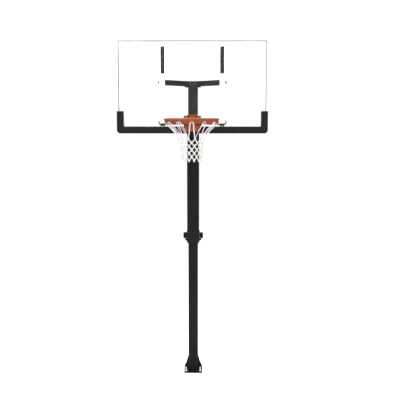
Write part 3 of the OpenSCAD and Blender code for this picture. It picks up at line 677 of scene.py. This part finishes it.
# height and radius in millimetres
SCREW_HEAD = ((0.0, 4.2), (1.2, 4.2), (2.0, 3.6), (2.5, 2.6), (2.7, 1.5), (2.7, 1.3), (1.6, 1.1))

screws = Build()
seat_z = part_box("right_pad")[0].z + SCREW_SEAT
for low, high in islands("pad_screws"):
    seat = above(low, high, seat_z)
    washer(screws, seat, DOWN, CUP_R, CUP_BORE_R, CUP_HEIGHT)
    screws.rings(turned(seat, DOWN, [(h * MM, r * MM) for h, r in SCREW_HEAD], 24))
    shank(screws, seat, high.z - seat_z, SCREW_R)
screw_piece = screws.piece("pad_screw_heads", "head", "zinc_plate", ["pad_screws"])
sharpen(screw_piece, 35)


# ---- glazing strips ----

STRIP_WIDTH = 40 * MM
STRIP_RIBS = 5
STRIP_SECTIONS = 24
# clearance between the strip and the glass, and between the strip and its upright
STRIP_GAPS = (1 * MM, 0.2 * MM)
# how far the strips stop short of the uprights' ends, clear of the board frame's members
STRIP_END_CLEARANCE = 30 * MM


def strip_section(depth):
    """Ribbed outline of a glazing strip: distance across, distance back from the glass."""
    width, half, lip, waist = STRIP_WIDTH, STRIP_WIDTH / 2, 1.2 * MM, STRIP_WIDTH / 2 - 1 * MM
    points = [(-half, lip), (-half + lip, 0.2 * MM)]
    for rib in range(STRIP_RIBS):
        at = -half + width * (rib + 1) / (STRIP_RIBS + 1)
        points += [(at - 1.6 * MM, 0), (at - 0.7 * MM, 0.9 * MM)]
        points += [(at + 0.7 * MM, 0.9 * MM), (at + 1.6 * MM, 0)]
    points += [(half - lip, 0.2 * MM), (half, lip), (waist, depth * 0.4), (waist, depth * 0.6)]
    points += [(half, depth - lip), (half - lip, depth), (-half + lip, depth), (-half, depth - lip)]
    points += [(-waist, depth * 0.6), (-waist, depth * 0.4)]
    return points


# rubber strips that carry the glass on the two uprights, inside the board frame
strips = Build()
glass_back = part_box("glass_board")[1].y + STRIP_GAPS[0]
for name in ("left_upright", "right_upright"):
    low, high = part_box(name)
    middle_x = (low.x + high.x) / 2
    outline = strip_section(low.y - glass_back - STRIP_GAPS[1])
    rings = []
    for i in range(STRIP_SECTIONS + 1):
        z = low.z + STRIP_END_CLEARANCE + (high.z - low.z - 2 * STRIP_END_CLEARANCE) * i / STRIP_SECTIONS
        wave = noise.noise(Vector((i * 0.5, middle_x, 0))) * 0.3 * MM
        rings.append([Vector((middle_x + across + wave, glass_back + back, z)) for across, back in outline])
    strips.rings(rings)
strip_piece = strips.piece("glazing_strips", "head", "pad_rubber")
sharpen(strip_piece, 40)


# ---- weld beads ----

WELD_STEP = 2.2 * MM
POLE_WELD_R = 3.2 * MM
GUSSET_WELD_R = 2.2 * MM
# outer corner radius of the pole's tube
POLE_CORNER = 9 * MM
# distance of the gusset welds from the gusset's middle plane
GUSSET_WELD_Y = 3.6 * MM


def weld_bead(build, path, radius, closed, seed):
    """An even fillet weld: ripples along the bead, slightly uneven in size."""
    fine = path if closed else smooth_path(path, WELD_STEP)
    bead = []
    for i in range(len(fine)):
        ripple = 0.1 * math.sin(i * 1.9)
        drift = 0.12 * noise.noise(Vector((i * 0.09, seed, 0)))
        bead.append(1 + ripple + drift)
    build.tube(fine, radius, 8, closed, bead=bead)


def square_path(half, corner, z, step):
    """Closed path round a square tube with round corners."""
    points = []
    for quarter in range(4):
        a0 = quarter * math.pi / 2
        centre = Vector((half - corner, half - corner, 0))
        centre = Matrix.Rotation(a0, 3, "Z") @ centre
        for k in range(7):
            a = a0 + math.pi / 2 * k / 6
            points.append(centre + Vector((math.cos(a) * corner, math.sin(a) * corner, z)))
    out = []
    for i, p in enumerate(points):
        q = points[(i + 1) % len(points)]
        count = max(1, round((q - p).length / step))
        out += [p.lerp(q, j / count) for j in range(count)]
    return out


pole_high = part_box("lower_pole")[1]
plate_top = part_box("anchor_plate")[1].z
gusset_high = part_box("plate_gussets")[1]
welds = Build()
foot_path = square_path(pole_high.x, POLE_CORNER, plate_top + 1.5 * MM, WELD_STEP)
weld_bead(welds, foot_path, POLE_WELD_R, True, 1.0)
for k in range(4):
    turn = Matrix.Rotation(k * math.pi / 2, 3, "Z")
    for side in (-1, 1):
        # one bead along the plate and one up the pole, as (x, z) ends beside each gusset
        flat_z, upright_x = plate_top + 1.2 * MM, pole_high.x + 1 * MM
        on_plate = ((pole_high.x + 4 * MM, flat_z), (gusset_high.x - 3 * MM, flat_z))
        on_pole = ((upright_x, plate_top + 6 * MM), (upright_x, gusset_high.z - 4 * MM))
        for ends in (on_plate, on_pole):
            line = [turn @ Vector((x, side * GUSSET_WELD_Y, z)) for x, z in ends]
            weld_bead(welds, line, GUSSET_WELD_R, False, k + side * 0.3)
welds.piece("foot_weld_beads", "anchored_pole", "black_powder_coat")


# ---- print on the back of the glass ----


def rounded_outline(half_w, low, high, corner, steps=8):
    """Outline in X and Z of a rectangle with round corners, anticlockwise from the front."""
    points = []
    for k, (cx, cz) in enumerate((
        (half_w - corner, high - corner), (corner - half_w, high - corner),
        (corner - half_w, low + corner), (half_w - corner, low + corner),
    )):
        for i in range(steps + 1):
            a = math.pi / 2 * (k + i / steps)
            points.append((cx + corner * math.cos(a), cz + corner * math.sin(a)))
    return points


LINE_WIDTH = 51 * MM
INK_DEPTH = 0.25 * MM
# clearance between the ink and the glass
INK_GAP = 0.15 * MM
LINE_CORNER = 7 * MM
BORDER_OUTER_CORNER = 1 * MM


def printed_lines(name, node):
    """Screen-printed border and target: a thin ink layer just behind the glass."""
    build = Build()
    for low, high in islands(node):
        half = (high.x - low.x) / 2
        is_target = half < 0.5
        outer_corner = LINE_CORNER if is_target else BORDER_OUTER_CORNER
        outer = rounded_outline(half, low.z, high.z, outer_corner)
        inner = rounded_outline(half - LINE_WIDTH, low.z + LINE_WIDTH, high.z - LINE_WIDTH, LINE_CORNER)
        rings = []
        for outline, y in ((outer, 0), (inner, 0), (inner, INK_DEPTH), (outer, INK_DEPTH)):
            rings.append([Vector((x, low.y + INK_GAP + y, z)) for x, z in outline])
        build.rings(rings, closed=True)
    o = build.piece(name, "head", "white_print", [node], smooth=False)
    sharpen(o, 30)


printed_lines("printed_border_and_target", "board_print")


# ---- clamp knobs ----

LOBES = 6
LOBE_DEPTH = 0.085
# share of the knob's depth out from the collar, share of its radius, and how lobed it is there
KNOB_PROFILE = (
    (0.0, 0.3, 0), (0.0, 0.62, 0.2), (0.02, 0.74, 0.6), (0.05, 0.84, 0.9), (0.1, 0.92, 1),
    (0.18, 0.975, 1), (0.3, 1.0, 1), (0.62, 1.0, 1), (0.74, 0.985, 1), (0.84, 0.95, 1), (0.92, 0.89, 1),
    (0.97, 0.81, 0.9), (0.99, 0.72, 0.7), (0.98, 0.66, 0.4), (0.93, 0.61, 0.2), (0.9, 0.55, 0.1),
    (0.9, 0.38, 0), (0.93, 0.34, 0), (0.985, 0.32, 0), (1.0, 0.28, 0), (1.0, 0.1, 0),
)


def knob(name, node, body, side):
    """Six-lobed hand knob: rounded rims, a dished face with a hub, and a flat back to the collar."""
    low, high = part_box(node)
    centre = (low + high) / 2
    radius = (high.z - low.z) / 2
    inner_x = low.x if side > 0 else high.x
    depth = high.x - low.x
    rings = []
    for along, reach, lobed in KNOB_PROFILE:

        def at(a, reach=reach, lobed=lobed):
            return radius * reach * (1 - LOBE_DEPTH * lobed * (1 - math.cos(LOBES * a)))

        rings.append(lathe_ring((inner_x, centre.y, centre.z), (side, 0, 0), depth * along, at, 72))
    build = Build()
    build.rings(rings)
    o = build.piece(name, body, "black_plastic", [node])
    sharpen(o, 40)


knob("left_knob_moulding", "left_knob", "left_clamp", -1)
knob("right_knob_moulding", "right_knob", "right_clamp", 1)


# ---- springs ----

SPRING_WIRE = 3.2 * MM
SPRING_TURNS = 7.5
SPRING_POINTS_PER_TURN = 28
# turns at each end that lie almost flat against each other
CLOSED_TURNS = 0.9


def coil_spring(name, body):
    """Both compression springs, with closed end turns."""
    build = Build()
    wire = SPRING_WIRE
    for low, high in islands("rim_springs"):
        centre = (low + high) / 2
        radius = (high.x - low.x) / 2 - wire / 2
        start, end = high.y - wire / 2, low.y + wire / 2
        points = []
        for i in range(round(SPRING_TURNS * SPRING_POINTS_PER_TURN) + 1):
            turn = i / SPRING_POINTS_PER_TURN
            left = SPRING_TURNS - turn
            lift = wire * min(turn, CLOSED_TURNS) / CLOSED_TURNS * 0.9
            lift_end = wire * min(left, CLOSED_TURNS) / CLOSED_TURNS * 0.9
            share = (turn - CLOSED_TURNS) / (SPRING_TURNS - 2 * CLOSED_TURNS)
            share = min(max(share, 0), 1)
            y = (start - lift) * (1 - share) + (end + lift_end) * share
            a = 2 * math.pi * turn
            points.append(Vector((centre.x + radius * math.cos(a), y, centre.z + radius * math.sin(a))))
        build.tube(points, wire / 2, 10)
    return build.piece(name, body, "spring_steel", ["rim_springs"])


springs = coil_spring("wound_springs", "head")
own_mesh(springs)


# ---- net ----

hook_boxes = islands("net_hooks")
hooks_low_x = min(low.x for low, high in hook_boxes)
hooks_high_x = max(high.x for low, high in hook_boxes)
HOOKS = len(hook_boxes)
HOOK_WIRE_R = 2.25 * MM
hook_radius = (hooks_high_x - hooks_low_x) / 2 - HOOK_WIRE_R
# how far below the ring's top the bend of each loop passes over its hook
LOOP_TOP_DROP = ring_high.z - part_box("net_hooks")[0].z - 4.5 * MM
# angle between a loop's middle and each of its legs at the ring, and how far the legs bow apart
LOOP_HALF_ANGLE = 0.065
LOOP_SPREAD = 7.5 * MM
CORD_R = 2.6 * MM
CORD_STEP = 3.5 * MM
TIERS = 7
FIRST_DROP = 0.185
TIER_HEIGHT = 0.0313
TIER_DROPS = [FIRST_DROP + TIER_HEIGHT * i for i in range(TIERS)]
TIER_RADII = [0.111, 0.098, 0.093, 0.0915, 0.0905, 0.089, 0.087]
# half sizes of a knot: across, up and out from the net
KNOT_WIDE = 6.2 * MM
KNOT_TALL = 4.2 * MM
KNOT_DEEP = 3.4 * MM
# how far the cord between two knots bows out
CORD_BOW = 2.2 * MM


def around(radius, angle, drop):
    """A point on the net, its angle from straight ahead of the board."""
    return Vector((
        ring_centre.x + radius * math.sin(angle),
        ring_centre.y - radius * math.cos(angle),
        ring_high.z - drop,
    ))


def tier_knot(tier, k):
    """Knot k of a tier; odd tiers sit half a step round from even ones."""
    half_step = math.pi / HOOKS
    angle = 2 * half_step * k + (0 if tier % 2 else half_step)
    wobble = noise.noise(Vector((tier * 1.7, k * 2.3, 0.5)))
    radius = TIER_RADII[tier] + 2.5 * MM * wobble
    return around(radius, angle + 0.02 * wobble, TIER_DROPS[tier] + 1.5 * MM * wobble)


def out_from_net(p):
    """Level unit vector away from the net's middle line."""
    return Vector((p.x - ring_centre.x, p.y - ring_centre.y, 0)).normalized()


def knot_shape(build, centre):
    """A pulled-tight knot: two short turns of cord round each other."""
    outward = out_from_net(centre)
    side = Vector((-outward.y, outward.x, 0))
    for offset, lean in ((-0.9 * MM, 2 * MM), (0.9 * MM, -2.2 * MM)):
        points = []
        for i in range(16):
            a = 2 * math.pi * i / 16
            wide = side * (math.cos(a) * KNOT_WIDE)
            tall = UP * (math.sin(a) * KNOT_TALL + math.cos(a) * lean)
            deep = outward * (math.sin(a) * KNOT_DEEP + offset)
            points.append(centre + wide + tall + deep)
        build.tube(points, CORD_R * 0.98, 8, closed=True)


def net_cord(build, points):
    """One length of laid cord through the points."""
    build.tube(smooth_path(points, CORD_STEP), CORD_R, 9, strands=3, lay=420.0, ridge=0.1)


def loop_leg(angle, side, bend, knot):
    """Two points of a loop's leg, from its bend over the hook down to its knot."""
    near = around(hook_radius - 5 * MM, angle + side * LOOP_HALF_ANGLE, LOOP_TOP_DROP + 19 * MM)
    sideways = Vector((math.cos(angle), math.sin(angle), 0)) * side * LOOP_SPREAD
    far = bend.lerp(knot, 0.5) + DOWN * 6 * MM + sideways
    inward = Vector((ring_centre.x - far.x, ring_centre.y - far.y, 0)) * 0.05
    return [near, far + inward]


net = Build()
# the loops over the hooks, whose two legs run down to the first knots on either side
for k in range(HOOKS):
    angle = 2 * math.pi * k / HOOKS
    left, right = tier_knot(0, k - 1), tier_knot(0, k)
    bend = around(hook_radius - 1 * MM, angle, LOOP_TOP_DROP)
    left_leg = loop_leg(angle, -1, bend, left)
    right_leg = loop_leg(angle, 1, bend, right)
    net_cord(net, [left, *reversed(left_leg), bend, *right_leg, right])
# the tiers of knots, each joined to the two knots below it
for tier in range(TIERS):
    for k in range(HOOKS):
        here = tier_knot(tier, k)
        knot_shape(net, here)
        if tier + 1 == TIERS:
            continue
        shift = 0 if tier % 2 == 0 else -1
        for other in (k + shift, k + shift + 1):
            there = tier_knot(tier + 1, other)
            mid = here.lerp(there, 0.5)
            net_cord(net, [here, mid + out_from_net(mid) * CORD_BOW, there])
net.piece("knotted_net", "rim", "net_cord", ["net"])


# ---- camera, lights and floor ----

CAMERA_PLACE = (0.112, -7.46, 2.6536)
CAMERA_LENS = 67.34
# degrees that the camera looks down, and turns to the left
CAMERA_DOWN = 6.781
CAMERA_TURN = 0.333
FLOOR_HALF = 60.0
# strength of the surroundings as a light, and where they are seen directly or through the glass
WORLD_LIGHT = 0.36
WORLD_SEEN = 1.05


def add_camera():
    data = bpy.data.cameras.new("camera")
    data.sensor_width = 36
    data.lens = CAMERA_LENS
    camera = bpy.data.objects.new("camera", data)
    camera.location = CAMERA_PLACE
    camera.rotation_euler = (math.radians(90 - CAMERA_DOWN), 0, math.radians(CAMERA_TURN))
    data.clip_end = 200
    bpy.context.scene.collection.objects.link(camera)
    bpy.context.scene.camera = camera


def add_area(name, location, target, size, power):
    """A rectangular soft light, aimed at a point."""
    data = bpy.data.lights.new(name, "AREA")
    data.shape = "RECTANGLE"
    data.size, data.size_y = size
    data.energy = power
    light = bpy.data.objects.new(name, data)
    light.location = location
    direction = Vector(target) - Vector(location)
    light.rotation_euler = direction.to_track_quat("-Z", "Y").to_euler()
    bpy.context.scene.collection.objects.link(light)


def add_world():
    """White studio surroundings, seen white directly and through the glass, that light softly."""
    world = bpy.data.worlds.new("studio")
    bpy.context.scene.world = world
    world.use_nodes = True
    tree = world.node_tree
    tree.nodes.clear()
    out = tree.nodes.new("ShaderNodeOutputWorld")
    mix = tree.nodes.new("ShaderNodeMixShader")
    path = tree.nodes.new("ShaderNodeLightPath")
    seen = tree.nodes.new("ShaderNodeMath")
    seen.operation = "MAXIMUM"
    tree.links.new(path.outputs["Is Camera Ray"], seen.inputs[0])
    tree.links.new(path.outputs["Is Transmission Ray"], seen.inputs[1])
    tree.links.new(seen.outputs[0], mix.inputs["Fac"])
    for slot_index, strength in ((1, WORLD_LIGHT), (2, WORLD_SEEN)):
        background = tree.nodes.new("ShaderNodeBackground")
        background.inputs["Color"].default_value = (1, 1, 1, 1)
        background.inputs["Strength"].default_value = strength
        tree.links.new(background.outputs[0], mix.inputs[slot_index])
    tree.links.new(mix.outputs[0], out.inputs[0])


def add_floor():
    half = FLOOR_HALF
    corners = [(-half, -half, ground), (half, -half, ground), (half, half, ground), (-half, half, ground)]
    mesh = bpy.data.meshes.new("floor")
    mesh.from_pydata(corners, [], [(0, 1, 2, 3)])
    mesh.materials.append(pale_floor())
    floor = bpy.data.objects.new("floor", mesh)
    bpy.context.scene.collection.objects.link(floor)
    floor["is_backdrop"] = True


bpy.context.scene.view_settings.view_transform = "Standard"
add_camera()
add_world()
add_floor()
add_area("overhead", (0, -2.4, 7.0), target=(0, -0.4, 2.0), size=(7, 5), power=300)
add_area("key", (-4.2, -5.2, 5.0), target=(0, -0.3, 2.2), size=(3.5, 3.5), power=170)
add_area("fill", (4.6, -4.6, 3.0), target=(0, -0.3, 1.8), size=(3.5, 3.5), power=60)
add_area("back", (0.5, 4.5, 4.5), target=(0, 0, 2.0), size=(4, 3), power=80)

low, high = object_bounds()
